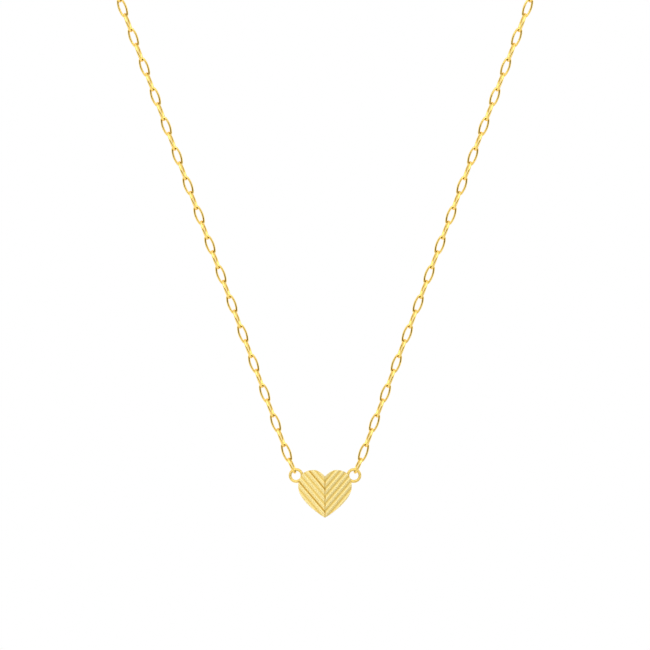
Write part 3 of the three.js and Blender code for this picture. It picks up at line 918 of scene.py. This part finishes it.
# ---------------------------------------------------------------- fastener

class NECKLACE_OT_fastener_rings(bpy.types.Operator):
    """Makes the jump ring behind the claw and the end ring that it hooks into"""

    bl_idname = "necklace.fastener_rings"
    bl_label = "Fastener Rings"

    def execute(self, context):
        sizes = context.scene.necklace_fastener
        for node, seam_at in (("jump_ring", 2.2), ("end_ring", 1.1)):
            radius = (size_of(node)[0] - size_of(node)[2]) / 2
            wire = size_of(node)[2] - sizes.polished
            mesh = ring_mesh(node, centre_of(node), ((1, 0, 0), (0, 1, 0)), radius,
                             wire, wire, 1.0, seam_at, sizes.seam_dip)
            add_piece(f"{node}_closed", mesh, finish_named(chain_finish), "chain_gold", node, node)
        return {"FINISHED"}


def cast_from(node, grain, smoothing):
    """A casting of a frame node: its solid remeshed in even facets and smoothed to round edges."""
    mesh = welded(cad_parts[node].data.copy(), 1e-7)
    mesh = finished_by(mesh, [
        ("REMESH", {"mode": "VOXEL", "voxel_size": grain, "adaptivity": 0.0}),
        ("SMOOTH", {"factor": 0.5, "iterations": smoothing}),
    ])
    mesh.shade_smooth()
    return mesh


def turned_pin(node, sizes, steps=32):
    """The rivet pin: a profile of straight shank and domed heads, turned about its own axis."""
    low, high = (np.array(corner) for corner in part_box(node))
    centre = (low + high) / 2
    radius, half = (high - low)[0] / 2, (high - low)[1] / 2
    bend = np.linspace(0, math.pi / 2, 7)
    dome = sizes.pin_dome * radius
    head_r = radius * np.sin(bend)
    head_y = half - dome * (1 - np.cos(bend))
    profile_r = np.concatenate([head_r, head_r[::-1]])
    profile_y = np.concatenate([head_y, -head_y[::-1]])
    angle = np.arange(steps) / steps * 2 * math.pi
    points = np.stack([
        centre[0] + profile_r[:, None] * np.cos(angle),
        centre[1] + profile_y[:, None] + 0 * angle,
        centre[2] + profile_r[:, None] * np.sin(angle),
    ], 2).reshape(-1, 3)
    return welded(new_mesh(node, points, grid_faces(len(profile_r), steps, wrap_columns=True)))


def coil(node, sizes, steps=150, sides=10):
    """The spring: a round wire carried along a helix whose first and last turns lie closed.

    Height grows as a smooth step of the turn, so that the ends are flat, and the wire's radius
    falls to nothing in the last steps to close the ends.
    """
    low, high = (np.array(corner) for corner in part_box(node))
    centre = (low + high) / 2
    t = np.linspace(0, 1, steps)
    turn = 2 * math.pi * sizes.spring_turns * t
    wire = sizes.spring_wire / 2
    climb = t - sizes.spring_closing * np.sin(4 * math.pi * t) / (4 * math.pi)
    rise = (low[2] + wire) + (high[2] - low[2] - 2 * wire) * climb
    radial = np.stack([np.cos(turn), np.sin(turn), 0 * turn], 1)
    path = sizes.spring_radius * radial + np.stack([centre[0] + 0 * t, 0 * t, rise], 1)
    upward = np.broadcast_to(np.array((0.0, 0.0, 1.0)), path.shape)
    thick = wire * np.sqrt(np.clip(np.minimum(t, 1 - t) * steps / 1.5, 0, 1))
    points, faces, angle = tube(path, radial, upward, thick, thick, sides, closed=False)
    grain = np.stack([
        np.broadcast_to(np.cos(angle), (steps, sides)),
        np.broadcast_to(np.sin(angle), (steps, sides)),
        np.broadcast_to((turn * 2)[:, None], (steps, sides)),
    ], 2).reshape(-1, 3)
    return welded(new_mesh(node, points, faces, grain=grain))


class NECKLACE_OT_claw(bpy.types.Operator):
    """Makes the lobster claw: its cast body and lever, the rivet pin and the return spring"""

    bl_idname = "necklace.claw"
    bl_label = "Claw"

    def execute(self, context):
        sizes = context.scene.necklace_fastener
        cast = finish_named(clasp_finish)
        add_piece("claw_body", cast_from("clasp_body", sizes.grain, 8), cast, "clasp_gold",
                  "clasp", "clasp_body")
        add_piece("claw_lever", cast_from("clasp_lever", sizes.grain, 6), cast, "clasp_gold",
                  "clasp_lever", "clasp_lever")
        add_piece("claw_pin", turned_pin("clasp_pin", sizes), cast, "clasp_gold",
                  "clasp", "clasp_pin")
        spring = add_piece("claw_spring", coil("clasp_spring", sizes), finish_named(spring_finish),
                           "spring_steel", "clasp", "clasp_spring")
        seat = centre_of("clasp_spring")
        seat[2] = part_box("clasp_spring")[0].z
        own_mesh(spring)
        return {"FINISHED"}


# ---------------------------------------------------------------- stage

def board(name, turns, rises, radius, middle, brightness):
    """A curved board that only reflections see.

    Its points lie at a radius from the middle, over a range of turns from -Y towards +X and of
    rises above level, both in degrees.
    """
    turn = np.radians(np.linspace(*turns, 24))[:, None]
    rise = np.radians(np.linspace(*rises, 12))[None, :]
    points = np.stack([
        radius * np.sin(turn) * np.cos(rise),
        -radius * np.cos(turn) * np.cos(rise),
        middle + radius * np.sin(rise) + 0 * turn,
    ], 2).reshape(-1, 3)
    finish = Finish(name)
    finish.set(Base_Color=(0, 0, 0, 1), Roughness=1.0, Emission_Strength=1.0,
               Emission_Color=(brightness, brightness, brightness, 1))
    piece = bpy.data.objects.new(name, new_mesh(name, points, grid_faces(24, 12)))
    piece.data.materials.append(finish.material)
    piece.visible_camera = False
    piece.visible_shadow = False
    piece.visible_diffuse = False
    bpy.context.scene.collection.objects.link(piece)


class NECKLACE_OT_studio(bpy.types.Operator):
    """Makes the pale floor, the white surround, the two boards, the light and the camera"""

    bl_idname = "necklace.studio"
    bl_label = "Studio"

    def execute(self, context):
        scene = context.scene
        studio = scene.necklace_studio
        rings = centre_of("shoulder_ring_left")[2]
        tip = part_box("heart_plate")[0].z

        angle = np.arange(96) / 96 * 2 * math.pi
        radii = np.linspace(0, 1, 9)[:, None] * studio.floor_radius
        floor_at = tip - studio.floor_drop
        points = np.stack([radii * np.cos(angle), radii * np.sin(angle),
                           floor_at + 0 * radii + 0 * angle], 2).reshape(-1, 3)
        floor = bpy.data.objects.new("floor", welded(new_mesh(
            "floor", points, grid_faces(9, 96, wrap_columns=True))))
        floor.data.materials.append(finish_named(floor_finish))
        scene.collection.objects.link(floor)

        middle = rings + studio.aim
        board("board_front", studio.front_turns, studio.front_rises, studio.front_distance,
              middle, studio.front_board)
        board("board_low", studio.low_turns, studio.low_rises, studio.low_distance,
              rings, studio.low_board)

        world = bpy.data.worlds.new("surround")
        world.use_nodes = True
        world.node_tree.nodes["Background"].inputs["Color"].default_value = (1, 1, 1, 1)
        world.node_tree.nodes["Background"].inputs["Strength"].default_value = studio.surround
        scene.world = world

        lamp = bpy.data.lights.new("soft_light", "AREA")
        lamp.shape = "RECTANGLE"
        lamp.size = studio.light_width
        lamp.size_y = studio.light_depth
        lamp.energy = studio.light_power
        light = bpy.data.objects.new("soft_light", lamp)
        light.location = (0, -studio.light_forward, rings + studio.light_height)
        light.rotation_euler = (studio.light_tilt, 0, 0)
        scene.collection.objects.link(light)

        camera = bpy.data.objects.new("camera", bpy.data.cameras.new("camera"))
        camera.data.lens = camera.data.sensor_width * studio.distance / studio.picture
        camera.location = (0, -studio.distance, rings + studio.aim)
        camera.rotation_euler = (math.pi / 2, 0, 0)
        camera.data.clip_start = 0.01
        scene.collection.objects.link(camera)
        scene.camera = camera
        scene.view_settings.view_transform = "Standard"
        return {"FINISHED"}


# ---------------------------------------------------------------- add-on

MAKERS = [
    NECKLACE_OT_single_links,
    NECKLACE_OT_neck_links,
    NECKLACE_OT_heart,
    NECKLACE_OT_shoulder_rings,
    NECKLACE_OT_fastener_rings,
    NECKLACE_OT_claw,
    NECKLACE_OT_studio,
]


class NECKLACE_PT_sidebar(bpy.types.Panel):
    """Lists the necklace's makers and sizes"""

    bl_idname = "NECKLACE_PT_sidebar"
    bl_label = "Heart Necklace"
    bl_space_type = "VIEW_3D"
    bl_region_type = "UI"
    bl_category = "Necklace"

    def draw(self, context):
        for maker in MAKERS:
            self.layout.operator(maker.bl_idname)
        for group in GROUPS:
            settings = getattr(context.scene, group)
            for name in settings.bl_rna.properties.keys():
                if name not in ("rna_type", "name"):
                    self.layout.prop(settings, name)


def register():
    for group, kind in GROUPS.items():
        bpy.utils.register_class(kind)
        setattr(bpy.types.Scene, group, bpy.props.PointerProperty(type=kind))
    for kind in [*MAKERS, NECKLACE_PT_sidebar]:
        bpy.utils.register_class(kind)


def unregister():
    for kind in [NECKLACE_PT_sidebar, *reversed(MAKERS)]:
        bpy.utils.unregister_class(kind)
    for group, kind in reversed(GROUPS.items()):
        delattr(bpy.types.Scene, group)
        bpy.utils.unregister_class(kind)


def main():
    register()
    for maker in MAKERS:
        family, name = maker.bl_idname.split(".")
        getattr(getattr(bpy.ops, family), name)()


if __name__ == "__main__":
    main()
